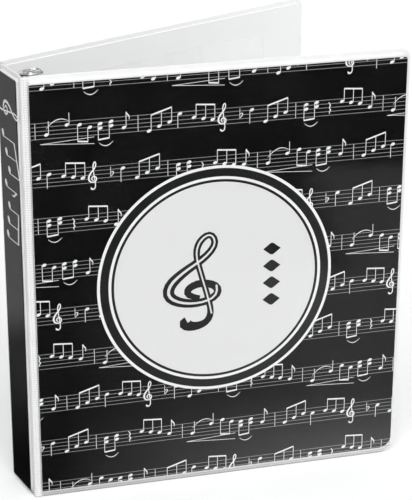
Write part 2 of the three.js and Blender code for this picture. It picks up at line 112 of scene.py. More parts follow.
# Print
SHEET = {"u0": 3.55, "u1": 249.15, "z0": 5.0, "z1": 287.0}
ROUNDEL = (122.35, 145.5)
ROUNDEL_RINGS = [("outer_line", 79.1, "white_ink"), ("band", 77.2, "black_ink"),
                 ("inner_line", 71.6, "white_ink"), ("fine_line", 69.7, "black_ink"),
                 ("field", 67.9, "pale_ink")]
ORNAMENT_GAP = 8.4
ORNAMENT_SPREAD = 1.9
STAVE_GAP = 2.6
ROW_PITCH = 31.4
ROWS = 10
LINE = 0.17
STEM = 0.2
BEAM = 0.5

# Ring mechanism, measured from the plane of the hinge lines and the spine's middle
RING_HEIGHTS = {"bottom": 38.0, "middle": 146.0, "top": 254.0}
RING_RADIUS = 12.7
RING_CENTRE = 16.4
WIRE = 2.6
WIRE_BEND = 1.6
SHANK_ACROSS = 5.6
SHANK_START = 2.83
TIP_GAP = 0.3
WIRE_SIDES = 20
BEND_STEPS = 8
ARC_STEPS = 60
TIP_STEPS = [(0.12, 0), (0.38, 0)]
PEG = [(0.4, 0.72)]
SOCKET = [(0.3, -0.9)]
HEAD = {"radius1": 1.8, "radius2": 1.5, "depth": 0.7}

# Trigger tab: outline of its rolled rim, which rises outwards, and the dome pressed into it
TAB = {"start": 9.4, "end": 20.2, "half": 5.2, "corner": 3.0}
TAB_RISE = (8.0, 288.1, 0.046)
RIM_RADIUS = 0.5
RIM_STEPS = 6
DOME_PLACE = (13.4, 0, 288.33)
DOME_SIZE = (2.7, 3.1, 0.75)

FRONT_HINGE = Vector(joints["front_cover_hinge"]["pos_m"][:2] + [0])
BACK_HINGE = Vector(joints["back_cover_hinge"]["pos_m"][:2] + [0])
SPINE_MIDDLE = (FRONT_HINGE + BACK_HINGE) / 2


def panel_place(hinge, turn, mirrored=False):
    side = Matrix.Diagonal((1, -1 if mirrored else 1, 1, 1))
    return Matrix.Translation(hinge) @ Matrix.Rotation(turn, 4, "Z") @ side @ Matrix.Scale(MM, 4)


FRONT = panel_place(FRONT_HINGE, -FRONT_OPENED)
BACK = panel_place(BACK_HINGE, BACK_OPENED, mirrored=True)
SPINE = panel_place(BACK_HINGE, -math.pi / 2)
MECHANISM = Matrix.Translation(SPINE_MIDDLE) @ Matrix.Scale(MM, 4)


# Camera, light and floor

def set_camera():
    data = bpy.data.cameras.new("camera")
    data.lens = 133.77
    data.sensor_width = 36
    camera = bpy.data.objects.new("camera", data)
    camera.matrix_world = (
        Matrix.Translation((-0.53825, -1.01939, 0.6260))
        @ Matrix.Rotation(math.radians(-28.36), 4, "Z")
        @ Matrix.Rotation(math.pi / 2 - 0.39158, 4, "X")
        @ Matrix.Rotation(0.00317, 4, "Z")
    )
    scene.collection.objects.link(camera)
    scene.camera = camera


def soft_light(name, place, aim, size, power):
    data = bpy.data.lights.new(name, "AREA")
    data.shape = "RECTANGLE"
    data.size, data.size_y = size
    data.energy = power
    light = bpy.data.objects.new(name, data)
    toward = Vector(aim) - Vector(place)
    turned = toward.to_track_quat("-Z", "Y").to_matrix().to_4x4()
    light.matrix_world = Matrix.Translation(place) @ turned
    light.visible_camera = False
    scene.collection.objects.link(light)


def sky_lamp(toward, power, spread):
    data = bpy.data.lights.new("sky_lamp", "SUN")
    data.energy = power
    data.angle = math.radians(spread)
    lamp = bpy.data.objects.new("sky_lamp", data)
    lamp.matrix_world = Vector(toward).to_track_quat("Z", "Y").to_matrix().to_4x4()
    scene.collection.objects.link(lamp)


def link(tree, start, end):
    tree.links.new(start, end)


def math_node(tree, operation, first, second=None, clamp=False):
    node = tree.nodes.new("ShaderNodeMath")
    node.operation = operation
    node.use_clamp = clamp
    for socket, value in zip(node.inputs, (first, second)):
        if isinstance(value, (int, float)):
            socket.default_value = value
        elif value is not None:
            link(tree, value, socket)
    return node.outputs[0]


def times(tree, *values):
    product = values[0]
    for value in values[1:]:
        product = math_node(tree, "MULTIPLY", product, value)
    return product


def ranged(tree, value, low, high, to_low, to_high, smooth=False):
    node = tree.nodes.new("ShaderNodeMapRange")
    node.interpolation_type = "SMOOTHSTEP" if smooth else "LINEAR"
    link(tree, value, node.inputs["Value"])
    limits = {"From Min": low, "From Max": high, "To Min": to_low, "To Max": to_high}
    for socket, amount in limits.items():
        node.inputs[socket].default_value = amount
    return node.outputs["Result"]


def split_axes(tree, place):
    node = tree.nodes.new("ShaderNodeSeparateXYZ")
    link(tree, place, node.inputs[0])
    return node.outputs


def mixed_color(tree, share, first, second):
    node = tree.nodes.new("ShaderNodeMix")
    node.data_type = "RGBA"
    node.inputs["A"].default_value = (*first, 1)
    node.inputs["B"].default_value = (*second, 1)
    link(tree, share, node.inputs["Factor"])
    return node.outputs["Result"]


def mixed_shader(tree, share, first, second):
    node = tree.nodes.new("ShaderNodeMixShader")
    for socket, start in zip(node.inputs, (share, first, second)):
        link(tree, start, socket)
    return node.outputs[0]


def background(tree, color, strength):
    node = tree.nodes.new("ShaderNodeBackground")
    node.inputs["Color"].default_value = (*color, 1)
    node.inputs["Strength"].default_value = strength
    return node


# What shiny metal mirrors, by the height of the ray: (height, tone)
METAL_CARDS = [(0.0, 0.5), (0.05, 0.02), (0.2, 0.02), (0.27, 0.95), (0.37, 0.9), (0.4, 0.05),
               (0.45, 0.05), (0.49, 0.95), (0.56, 0.04), (0.7, 0.04), (0.78, 0.9), (1.0, 0.7)]


def set_world():
    """A white room. Only shiny surfaces see the bright and dark cards that hang in it."""
    world = bpy.data.worlds.new("studio")
    world.use_nodes = True
    tree = world.node_tree
    tree.nodes.clear()
    path = tree.nodes.new("ShaderNodeLightPath")
    upward = split_axes(tree, tree.nodes.new("ShaderNodeTexCoord").outputs["Generated"])[2]
    cards = tree.nodes.new("ShaderNodeValToRGB")
    while len(cards.color_ramp.elements) < len(METAL_CARDS):
        cards.color_ramp.elements.new(0.5)
    for stop, (height, tone) in zip(cards.color_ramp.elements, METAL_CARDS):
        stop.position = height
        stop.color = (tone, tone, tone, 1)
    link(tree, upward, cards.inputs[0])
    room = background(tree, (0.98, 0.99, 1), 0.54)
    mirrored = background(tree, (1, 1, 1), 1.1)
    link(tree, cards.outputs[0], mirrored.inputs["Color"])
    sweep = background(tree, (1, 1, 1), 1.0)
    unseen = mixed_shader(tree, path.outputs["Is Glossy Ray"], room.outputs[0], mirrored.outputs[0])
    shown = mixed_shader(tree, path.outputs["Is Camera Ray"], unseen, sweep.outputs[0])
    link(tree, shown, tree.nodes.new("ShaderNodeOutputWorld").inputs["Surface"])
    scene.world = world
    scene.view_settings.view_transform = "Standard"


# Effects that several finishes share

def new_group(name, inputs, outputs):
    group = bpy.data.node_groups.new(name, "ShaderNodeTree")
    for title, kind, value in inputs:
        socket = group.interface.new_socket(name=title, in_out="INPUT", socket_type=kind)
        if value is not None:
            socket.default_value = value
    for title, kind in outputs:
        group.interface.new_socket(name=title, in_out="OUTPUT", socket_type=kind)
    entry = group.nodes.new("NodeGroupInput")
    leave = group.nodes.new("NodeGroupOutput")
    return group, entry, leave


def noise(tree, vector, scale, detail=2, roughness=0.5):
    node = tree.nodes.new("ShaderNodeTexNoise")
    node.inputs["Detail"].default_value = detail
    node.inputs["Roughness"].default_value = roughness
    link(tree, vector, node.inputs["Vector"])
    if isinstance(scale, (int, float)):
        node.inputs["Scale"].default_value = scale
    else:
        link(tree, scale, node.inputs["Scale"])
    return node.outputs["Fac"]


def studio_floor():
    """A white floor. For glossy rays only, it glows with a painted reflection that fades from a
    dark studio to a bright reflector.
    """
    material = bpy.data.materials.new("studio_floor")
    material.use_nodes = True
    tree = material.node_tree
    tree.nodes.clear()
    place = tree.nodes.new("ShaderNodeTexCoord").outputs["Object"]
    across, along = split_axes(tree, place)[:2]
    ragged = ranged(tree, noise(tree, place, 90, 3, 0.6), 0.3, 0.7, -0.02, 0.02)
    reach = math_node(tree, "ADD", along, ragged)
    side = math_node(tree, "ADD", across, ragged)
    # painted reflection: for glossy rays the floor glows like a bright reflector that starts before
    # the binder's left edge, is nearest the light at its foot, and has a corner cut out of it
    cut_corner = math_node(tree, "MAXIMUM", ranged(tree, reach, -0.45, -0.38, 0, 1, smooth=True),
                           ranged(tree, side, 0.09, 0.14, 0, 1, smooth=True))
    painted_card_glow = times(
        tree,
        ranged(tree, across, -0.11, 0.09, 0, 1),
        ranged(tree, along, -0.18, -0.04, 0.5, 1.8, smooth=True),
        cut_corner,
        ranged(tree, reach, -0.69, -0.64, 0, 1, smooth=True),
        ranged(tree, along, -0.02, 0.05, 1, 0),
    )
    # painted reflection of a dimmer reflector beside the spine, brighter far off than near
    far = math_node(tree, "ADD", ranged(tree, along, 0.05, 0.13, 0, 0.075),
                    ranged(tree, along, 0.21, 0.29, 0, 0.235, smooth=True))
    far = times(tree, far, ranged(tree, across, -0.12, -0.2, 0, 1))
    # the total glow that glossy rays see on the floor is painted reflection, not a lamp
    seen = math_node(tree, "ADD", math_node(tree, "ADD", painted_card_glow, far), 0.006)
    mirror_image = tree.nodes.new("ShaderNodeEmission")
    link(tree, seen, mirror_image.inputs["Strength"])
    paint = tree.nodes.new("ShaderNodeBsdfDiffuse")
    tone = mixed_color(tree, noise(tree, place, 6), (0.93, 0.93, 0.93), (0.97, 0.97, 0.97))
    link(tree, tone, paint.inputs["Color"])
    glossy = tree.nodes.new("ShaderNodeLightPath").outputs["Is Glossy Ray"]
    surface = mixed_shader(tree, glossy, paint.outputs[0], mirror_image.outputs[0])
    link(tree, surface, tree.nodes.new("ShaderNodeOutputMaterial").inputs["Surface"])

    bm = bmesh.new()
    bmesh.ops.create_grid(bm, x_segments=1, y_segments=1, size=8)
    bmesh.ops.translate(bm, verts=bm.verts, vec=(0, 0, -0.00005))
    mesh = bpy.data.meshes.new("floor")
    bm.to_mesh(mesh)
    bm.free()
    mesh.materials.append(material)
    floor = bpy.data.objects.new("floor", mesh)
    scene.collection.objects.link(floor)


def calendered_grain():
    """The fine pressed grain of vinyl, with the slow waves of a sheet over board."""
    group, entry, leave = new_group(
        "calendered_grain",
        [("Vector", "NodeSocketVector", None), ("Grain Scale", "NodeSocketFloat", 1800.0),
         ("Wave Scale", "NodeSocketFloat", 30.0), ("Wave Height", "NodeSocketFloat", 3.0)],
        [("Height", "NodeSocketFloat"), ("Tone", "NodeSocketFloat")],
    )
    cells = group.nodes.new("ShaderNodeTexVoronoi")
    cells.feature = "F1"
    link(group, entry.outputs["Vector"], cells.inputs["Vector"])
    link(group, entry.outputs["Grain Scale"], cells.inputs["Scale"])
    pebble = times(group, cells.outputs["Distance"], 0.6)
    fine = noise(group, entry.outputs["Vector"], entry.outputs["Grain Scale"], 3)
    wave = noise(group, entry.outputs["Vector"], entry.outputs["Wave Scale"], 1)
    tall = times(group, wave, entry.outputs["Wave Height"])
    height = math_node(group, "ADD", math_node(group, "ADD", pebble, fine), tall)
    link(group, height, leave.inputs["Height"])
    link(group, noise(group, entry.outputs["Vector"], 55, 4, 0.6), leave.inputs["Tone"])
    return group


def drawn_scratches():
    """Fine scratches that run one way along a drawn or plated surface."""
    group, entry, leave = new_group(
        "drawn_scratches",
        [("Vector", "NodeSocketVector", None), ("Stretch", "NodeSocketVector", (1, 1, 1)),
         ("Scale", "NodeSocketFloat", 900.0)],
        [("Height", "NodeSocketFloat"), ("Cloud", "NodeSocketFloat")],
    )
    stretch = group.nodes.new("ShaderNodeVectorMath")
    stretch.operation = "MULTIPLY"
    link(group, entry.outputs["Vector"], stretch.inputs[0])
    link(group, entry.outputs["Stretch"], stretch.inputs[1])
    marks = noise(group, stretch.outputs[0], entry.outputs["Scale"], 4, 0.65)
    link(group, marks, leave.inputs["Height"])
    link(group, noise(group, entry.outputs["Vector"], 160, 3), leave.inputs["Cloud"])
    return group


GRAIN = calendered_grain()
SCRATCHES = drawn_scratches()


class Finish:
    """A material with a Principled shader, and short calls to feed it."""

    def __init__(self, name, **constants):
        self.material = bpy.data.materials.new(name)
        self.material.use_nodes = True
        self.tree = self.material.node_tree
        self.tree.nodes.clear()
        self.out = self.tree.nodes.new("ShaderNodeOutputMaterial")
        self.skin = self.tree.nodes.new("ShaderNodeBsdfPrincipled")
        link(self.tree, self.skin.outputs[0], self.out.inputs["Surface"])
        for socket, value in constants.items():
            self.skin.inputs[socket.replace("_", " ")].default_value = value
        self.place = self.tree.nodes.new("ShaderNodeTexCoord").outputs["Object"]

    def group(self, tree, **values):
        node = self.tree.nodes.new("ShaderNodeGroup")
        node.node_tree = tree
        link(self.tree, self.place, node.inputs["Vector"])
        for socket, value in values.items():
            node.inputs[socket.replace("_", " ")].default_value = value
        return node.outputs

    def noise(self, scale, detail=2, roughness=0.5):
        return noise(self.tree, self.place, scale, detail, roughness)

    def height(self):
        return split_axes(self.tree, self.place)[2]

    def tint(self, share, first, second):
        color = mixed_color(self.tree, share, first, second)
        link(self.tree, color, self.skin.inputs["Base Color"])
        return self

    def rough(self, share, low, high):
        roughness = ranged(self.tree, share, 0.3, 0.7, low, high)
        link(self.tree, roughness, self.skin.inputs["Roughness"])
        return self

    def bump(self, height, distance):
        node = self.tree.nodes.new("ShaderNodeBump")
        node.inputs["Strength"].default_value = 1.0
        node.inputs["Distance"].default_value = distance
        link(self.tree, height, node.inputs["Height"])
        link(self.tree, node.outputs[0], self.skin.inputs["Normal"])
        self.normal = node.outputs[0]
        return self


def white_vinyl():
    finish = Finish("white_vinyl")
    tree = finish.tree
    grain = finish.group(GRAIN, Grain_Scale=1500.0, Wave_Scale=24.0, Wave_Height=6.0)
    # the lower edge is a little scuffed and dirty where the binder stands
    # painted shade: the vinyl is darker towards its lower edge where the binder stands, with a
    # painted contact shadow in its lowest millimetre
    height = finish.height()
    painted_foot_shade = times(tree, ranged(tree, height, 0.0002, 0.0013, 0.35, 1),
                  ranged(tree, height, 0.0, 0.01, 0.84, 1, smooth=True))
    # the grain's tone is the vinyl's own; the factor from height is painted shade
    tone = times(tree, painted_foot_shade, ranged(tree, grain["Tone"], 0.2, 0.8, 0.93, 1))
    finish.tint(tone, (0.0, 0.0, 0.0), (0.79, 0.79, 0.786))
    return finish.rough(grain["Tone"], 0.34, 0.47).bump(grain["Height"], 0.00002)


def white_lining():
    finish = Finish("white_lining")
    grain = finish.group(GRAIN, Grain_Scale=1100.0, Wave_Scale=16.0, Wave_Height=14.0)
    finish.tint(grain["Tone"], (0.82, 0.821, 0.82), (0.86, 0.86, 0.858))
    return finish.rough(grain["Tone"], 0.5, 0.62).bump(grain["Height"], 0.00003)


def sealed_web():
    finish = Finish("sealed_web")
    tree = finish.tree
    grain = finish.group(GRAIN, Grain_Scale=1700.0, Wave_Scale=60.0, Wave_Height=2.0)
    # painted light and shade: a stripe at the rib pitch, lighter on the raised ribs and darker in
    # the grooves between them
    turn = times(tree, finish.height(), math.pi / (RIB_ROW * MM))
    painted_rib_light_and_shade = math_node(tree, "SINE", math_node(tree, "ADD", turn, RIB_PHASE))
    tone = math_node(tree, "ADD", times(tree, painted_rib_light_and_shade, 0.4),
                     ranged(tree, grain["Tone"], 0.3, 0.7, 0.4, 0.6))
    finish.tint(tone, (0.66, 0.66, 0.657), (0.85, 0.85, 0.846))
    return finish.rough(grain["Tone"], 0.3, 0.42).bump(grain["Height"], 0.00002)


def black_sheet():
    finish = Finish("black_sheet", Specular_IOR_Level=0.05)
    finish.tint(finish.noise(38, 4, 0.6), (0.003, 0.003, 0.0033), (0.0055, 0.0055, 0.0058))
    return finish.rough(finish.noise(60, 3), 0.42, 0.56).bump(finish.noise(700, 5, 0.6), 0.000008)


def printed_ink(name, dark, light):
    finish = Finish(name, Specular_IOR_Level=0.3)
    finish.tint(finish.noise(500, 4, 0.7), dark, light)
    return finish.rough(finish.noise(300), 0.42, 0.56).bump(finish.noise(900, 4, 0.6), 0.000006)


def greyboard():
    finish = Finish("greyboard")
    fleck = finish.noise(420, 6, 0.7)
    finish.tint(fleck, (0.24, 0.21, 0.175), (0.42, 0.37, 0.31))
    return finish.rough(fleck, 0.82, 0.97).bump(fleck, 0.00006)


def drawn_metal(name, tone, low, high, stretch):
    """Bright or plain steel, with scratches that run along the axis that is stretched least."""
    finish = Finish(name, Metallic=1.0)
    marks = finish.group(SCRATCHES, Stretch=stretch, Scale=900.0)
    finish.tint(marks["Cloud"], (0.86 * tone,) * 3, (tone,) * 3)
    return finish.rough(marks["Cloud"], low, high).bump(marks["Height"], 0.000004)


def see_through(name, tone, haze, gloss, shine, grain, waves, relief):
    """A plastic film: it shows what is behind it, through a faint haze and under a soft gloss."""
    finish = Finish(name, Base_Color=(tone, tone, tone, 1), Roughness=0.4, Specular_IOR_Level=0.0)
    tree = finish.tree
    slow = times(tree, finish.noise(waves), 8.0)
    finish.bump(math_node(tree, "ADD", slow, finish.noise(grain, 3, 0.6)), relief)
    shadow = tree.nodes.new("ShaderNodeLightPath").outputs["Is Shadow Ray"]
    lit = math_node(tree, "SUBTRACT", 1.0, shadow)
    cloud = ranged(tree, finish.noise(26, 5, 0.6), 0.35, 0.7, *haze, smooth=True)
    clear = tree.nodes.new("ShaderNodeBsdfTransparent")
    hazed = mixed_shader(tree, times(tree, cloud, lit), clear.outputs[0], finish.skin.outputs[0])
    mirror = tree.nodes.new("ShaderNodeBsdfGlossy")
    mirror.inputs["Roughness"].default_value = gloss
    link(tree, finish.normal, mirror.inputs["Normal"])
    edge = tree.nodes.new("ShaderNodeFresnel")
    edge.inputs["IOR"].default_value = 1.46
    inside = tree.nodes.new("ShaderNodeNewGeometry").outputs["Backfacing"]
    facing = math_node(tree, "SUBTRACT", 1.0, inside)
    share = math_node(tree, "MULTIPLY", times(tree, edge.outputs[0], shine), facing, clamp=True)
    surface = mixed_shader(tree, times(tree, share, lit), hazed, mirror.outputs[0])
    link(tree, surface, finish.out.inputs["Surface"])
    return finish


FINISHES = {
    "white_vinyl": white_vinyl(),
    "white_lining": white_lining(),
    "sealed_web": sealed_web(),
    "black_sheet": black_sheet(),
    "white_ink": printed_ink("white_ink", (0.74, 0.74, 0.735), (0.84, 0.84, 0.835)),
    "grey_ink": printed_ink("grey_ink", (0.26, 0.26, 0.26), (0.34, 0.34, 0.34)),
    "black_ink": printed_ink("black_ink", (0.006, 0.006, 0.0065), (0.012, 0.012, 0.013)),
    "pale_ink": printed_ink("pale_ink", (0.66, 0.66, 0.658), (0.71, 0.71, 0.708)),
    "greyboard": greyboard(),
    "nickel_plate": drawn_metal("nickel_plate", 0.8, 0.09, 0.18, (1, 1, 0.04)),
    "ring_wire": drawn_metal("ring_wire", 0.83, 0.06, 0.14, (1, 1, 0.3)),
    "plain_steel": drawn_metal("plain_steel", 0.6, 0.26, 0.4, (1, 0.05, 1)),
    "clear_film": see_through("clear_film", 0.9, haze=(0.0, 0.002), gloss=0.06, shine=1.6,
                              grain=420, waves=30, relief=0.000006),
    "frosted_film": see_through("frosted_film", 0.95, haze=(0.05, 0.12), gloss=0.35, shine=0.15,
                                grain=700, waves=20, relief=0.00001),
}


# Making and placing pieces

def settle(bm, name, place, finish, body, replaced=(), sharp=35, wall=0.0):
    """Puts a finished bmesh, in millimetres, at its place on the binder."""
    bm.transform(place)
    if place.determinant() < 0:
        bmesh.ops.reverse_faces(bm, faces=bm.faces[:])
    mesh = bpy.data.meshes.new(name)
    bm.to_mesh(mesh)
    bm.free()
    mesh.shade_smooth()
    mesh.set_sharp_from_angle(angle=math.radians(sharp))
    mesh.materials.append(FINISHES[finish].material)
    piece = bpy.data.objects.new(name, mesh)
    scene.collection.objects.link(piece)
    if wall:
        thick = piece.modifiers.new("wall", "SOLIDIFY")
        thick.thickness = wall * MM
        thick.offset = -1
        thick.use_even_offset = bool(body)  # in a web's tight folds an even wall would spike
    if body:
        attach(piece, body)
    if replaced:
        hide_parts(*replaced)
    return piece


def blank(u0, u1, z0, z1, depth, radii, inward=False):
    """A flat sheet with rounded corners, facing outwards or inwards."""
    bm = bmesh.new()
    spots = [(u0, z0), (u1, z0), (u1, z1), (u0, z1)]
    corners = [bm.verts.new((u, depth if inward else -depth, z)) for u, z in spots]
    bm.faces.new(corners[::-1] if inward else corners)
    for corner, radius in zip(corners, radii):
        bmesh.ops.bevel(bm, geom=[corner], offset=radius, offset_type="OFFSET", segments=8,
                        profile=0.5, affect="VERTICES", material=-1)
    bm.faces.ensure_lookup_table()
    return bm, bm.faces[0]


def shape_steps(bm, face, steps):
    """Draws the face in and lifts it, step by step."""
    for width, lift in steps:
        bmesh.ops.inset_region(bm, faces=[face], thickness=width, depth=lift,
                               use_even_offset=True, use_boundary=True)


def quarter_round(radius, count=6):
    """Steps that turn a wall into a face through a rounded edge."""
    angles = [0.5 * math.pi * i / count for i in range(count + 1)]
    return [(radius * (math.cos(a) - math.cos(b)), radius * (math.sin(b) - math.sin(a)))
            for a, b in zip(angles, angles[1:])]


def panel_radii(spread, free):
    corners = {name: radius + spread for name, radius in PANEL_CORNERS.items()}
    far = (corners["free_bottom"], corners["free_top"]) if free else (corners["hinge"],) * 2
    return corners["hinge"], *far, corners["hinge"]


def panel_sheet(width, free, inset, depth, inward=False):
    far = PANEL_MARGIN["free"] if free else PANEL_MARGIN["hinge"]
    end = PANEL_MARGIN["end"] + inset
    return blank(PANEL_MARGIN["hinge"] + inset, width - far - inset, end, HEIGHT - end, depth,
                 panel_radii(-inset, free), inward)


def moulded_skin(width, free, depth, round_over, inward):
    """Vinyl over the board: a flat weld all round with its pressed line, then the padded panel."""
    bm, face = panel_sheet(width, free, SKIN_INSET - WELD_WIDTH, WELD_DEPTH - 0.12, inward)
    wall = depth - WELD_DEPTH - round_over
    low = wall <= 0.08
    steps = WELD_STEPS + [(0.1, 0.02 if low else wall - 0.06)]
    shape_steps(bm, face, steps + quarter_round(round_over - 0.08 if low else round_over) + PLATEAU)
    return bm


def outer_skin(name, width, free, place, body):
    bm = moulded_skin(width, free, SKIN_DEPTH, SKIN_ROUND, False)
    settle(bm, f"{name}_cover_vinyl", place, "white_vinyl", body,
           [f"{name}_outer_vinyl"], wall=VINYL)


def inner_skin(name, width, free, place, body):
    bm = moulded_skin(width, free, LINING_DEPTH, LINING_ROUND, True)
    settle(bm, f"{name}_inner_vinyl", place, "white_lining", body,
           [f"{name}_lining"], wall=VINYL)


def clear_pocket(name, width, free, place, body):
    """The film of an outside pocket: sealed at both sides and below, open above."""
    bm, face = panel_sheet(width, free, 0, FILM_SKIRT)
    wall = [(0.0001, FILM_DEPTH - FILM_ROUND - FILM_SKIRT)]
    shape_steps(bm, face, wall + quarter_round(FILM_ROUND, 4) + PLATEAU)
    geometry = bm.verts[:] + bm.edges[:] + bm.faces[:]
    bmesh.ops.bisect_plane(bm, geom=geometry, plane_co=(0, 0, FILM_MOUTH), plane_no=(0, 0, 1),
                           clear_outer=True)
    settle(bm, f"{name}_pocket_film", place, "clear_film", body,
           [f"{name}_clear_pocket"], wall=FILM)


def inner_pocket(name, place, body):
    """A hazy pocket on the inside of a cover, with its welded rim."""
    bm, face = blank(*POCKET.values(), LINING_DEPTH + 0.1, (POCKET_CORNER,) * 4, inward=True)
    shape_steps(bm, face, POCKET_STEPS + PLATEAU)
    settle(bm, f"{name}_pocket_sheet", place, "frosted_film", body,
           [f"{name}_inner_pocket"], wall=POCKET_FILM)


def keep_node(name, finish):
    """Shows a plain CAD piece as it is, in its own finish."""
    mesh = frame["nodes"][name].data
    mesh.materials.clear()
    mesh.materials.append(FINISHES[finish].material)


# The welded webs that the covers turn on

def fold_angle(spine_out, cover_out):
    return math.acos(max(-1, min(1, spine_out.dot(cover_out))))


def outer_fold(hinge, spine_run, spine_out, cover_run, cover_out, s, rise):
    """A point of an outer web: s runs from the spine to the cover, rise lifts it off the web."""
    arc = OUTER_FOLD * fold_angle(spine_out, cover_out)
    offset = OUTER_FOLD + rise
    if s < -arc / 2:
        return hinge + (spine_run * (-s - arc / 2) + spine_out * offset) * MM
    if s > arc / 2:
        return hinge + (cover_run * (s - arc / 2) + cover_out * offset) * MM
    return hinge + spine_out.slerp(cover_out, (s + arc / 2) / arc) * offset * MM


def inner_fold(hinge, spine_run, spine_out, cover_run, cover_out, s, rise):
    """The same for an inner web, which bends round a line inside the binder."""
    turn = fold_angle(spine_out, cover_out)
    arc = INNER_BEND * turn
    start = (INNER_FOLD + INNER_BEND) / math.tan((math.pi - turn) / 2)
    offset = INNER_FOLD + rise
    if s < -arc / 2:
        return hinge + (spine_run * (start - s - arc / 2) - spine_out * offset) * MM
    if s > arc / 2:
        return hinge + (cover_run * (start + s - arc / 2) - cover_out * offset) * MM
    centre = hinge + (spine_run * start - spine_out * (INNER_FOLD + INNER_BEND)) * MM
    return centre + spine_out.slerp(cover_out, (s + arc / 2) / arc) * (INNER_BEND - rise) * MM


def welded_web(name, hinge, turn, side, inner):
    """One sheet of a hinge: thin vinyl from the spine to a cover, ribbed by the heat seal."""
    spine_run = Vector((0, -side, 0))
    spine_out = Vector((-1, 0, 0))
    cover_run = Vector((math.cos(turn), math.sin(turn), 0))
    cover_out = Vector((-abs(math.sin(turn)), side * math.cos(turn), 0))
    fold, reach, radius, press = outer_fold, OUTER_REACH, OUTER_FOLD, 1
    if inner:
        fold, reach, radius, press = inner_fold, INNER_REACH, INNER_BEND, 0.5
    half = reach + radius * fold_angle(spine_out, cover_out) / 2
    bm = bmesh.new()
    bmesh.ops.create_grid(bm, x_segments=WEB_COLUMNS, y_segments=RIB_ROWS, size=0.5)
    for vert in bm.verts:
        s = 2 * half * vert.co.x
        row = round((vert.co.y + 0.5) * RIB_ROWS)
        off_middle = abs(s - BAND_MIDDLE)
        rise = 0.0
        if off_middle < BAND_HALF:
            rise = RIB_LIFT * (row % 2)
        elif off_middle < CREASE_END:
            rise = CREASE_DROP
        point = fold(hinge, spine_run, spine_out, cover_run, cover_out, s, press * rise)
        vert.co = (point.x, point.y, (RIB_START + RIB_ROW * row) * MM)
    bmesh.ops.recalc_face_normals(bm, faces=bm.faces[:])
    out = (spine_out + cover_out).normalized() * (-1 if inner else 1)
    middle = hinge + out * 2 * MM
    sample = min(bm.faces, key=lambda face: (face.calc_center_median().xy - middle.xy).length)
    if sample.normal.dot(out) < 0:
        bmesh.ops.reverse_faces(bm, faces=bm.faces[:])
    web = settle(bm, name, Matrix.Identity(4), "sealed_web", None, sharp=80,
                 wall=WEB_WALL)
    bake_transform(web)


# Rings, levers and housing

def made_of(kind, geometry):
    return [part for part in geometry if isinstance(part, kind)]


def half_ring(place_name, side_name, z):
    """A half ring: shank, tight bend and long arc, with a peg or a socket where the halves meet."""
    side = 1 if side_name == "back" else -1
    bend_across = SHANK_ACROSS + WIRE_BEND
    rise = math.sqrt((RING_RADIUS + WIRE_BEND) ** 2 - bend_across ** 2)
    bend_x = RING_CENTRE - rise
    turn = math.atan2(rise, bend_across)
    sweep = math.pi / 2 + turn - math.asin(TIP_GAP / 2 / RING_RADIUS)
    to_x = Matrix.Rotation(math.pi / 2, 3, "Y")
    bm = bmesh.new()
    bmesh.ops.create_circle(bm, segments=WIRE_SIDES, radius=WIRE / 2)
    bmesh.ops.rotate(bm, verts=bm.verts, cent=(0, 0, 0), matrix=to_x)
    bmesh.ops.translate(bm, verts=bm.verts, vec=(SHANK_START, SHANK_ACROSS, 0))
    made = bmesh.ops.extrude_edge_only(bm, edges=bm.edges[:])["geom"]
    bmesh.ops.translate(bm, verts=made_of(bmesh.types.BMVert, made),
                        vec=(bend_x - SHANK_START, 0, 0))
    last = [edge for edge in made_of(bmesh.types.BMEdge, made)
            if all(abs(vert.co.x - bend_x) < 1e-4 for vert in edge.verts)]
    bends = (((bend_x, bend_across, 0), -turn, BEND_STEPS), ((RING_CENTRE, 0, 0), sweep, ARC_STEPS))
    for centre, spin, steps in bends:
        spun = bmesh.ops.spin(bm, geom=last, cent=centre, axis=(0, 0, 1), angle=spin, steps=steps,
                              dvec=(0, 0, 0), use_duplicate=False)
        last = made_of(bmesh.types.BMEdge, spun["geom_last"])
    bmesh.ops.remove_doubles(bm, verts=bm.verts, dist=1e-4)
    bmesh.ops.holes_fill(bm, edges=[edge for edge in bm.edges if edge.is_boundary], sides=0)
    bmesh.ops.recalc_face_normals(bm, faces=bm.faces[:])
    ends = [face for face in bm.faces if len(face.verts) > 4]
    tip = max(ends, key=lambda face: face.calc_center_median().x)
    shape_steps(bm, tip, TIP_STEPS + (PEG if side < 0 else SOCKET))
    head = bmesh.ops.create_cone(bm, cap_ends=True, segments=WIRE_SIDES, **HEAD)["verts"]
    bmesh.ops.rotate(bm, verts=head, cent=(0, 0, 0), matrix=to_x.inverted())
    bmesh.ops.translate(bm, verts=head, vec=(SHANK_START - HEAD["depth"] / 2, SHANK_ACROSS, 0))
    if side < 0:
        bmesh.ops.scale(bm, verts=bm.verts, vec=(1, -1, 1))
        bmesh.ops.reverse_faces(bm, faces=bm.faces[:])
    bmesh.ops.translate(bm, verts=bm.verts, vec=(0, 0, z))
    settle(bm, f"ring_wire_{place_name}_{side_name}", MECHANISM, "ring_wire",
           f"ring_side_{side_name}", [f"ring_{place_name}_{side_name}"], sharp=40)


def softened(node, name, metal, body, edge):
    """A copy of a turned or stamped metal part with its edges broken."""
    bm = bmesh.new()
    bm.from_mesh(frame["nodes"][node].data)
    bmesh.ops.remove_doubles(bm, verts=bm.verts, dist=2e-6)
    bmesh.ops.dissolve_limit(bm, angle_limit=math.radians(0.5), verts=bm.verts, edges=bm.edges)
    sharp = [e for e in bm.edges if e.is_manifold and e.calc_face_angle(0) > math.radians(40)]
    bmesh.ops.bevel(bm, geom=sharp, offset=edge * MM, offset_type="OFFSET", segments=2, profile=0.5,
                    affect="EDGES", clamp_overlap=True, material=-1)
    settle(bm, name, Matrix.Identity(4), metal, body, [node], sharp=38)


def new_curve(radius, roundness):
    curve = bpy.data.curves.new("strokes", "CURVE")
    curve.dimensions = "3D"
    curve.bevel_depth = radius
    curve.bevel_resolution = roundness
    return curve


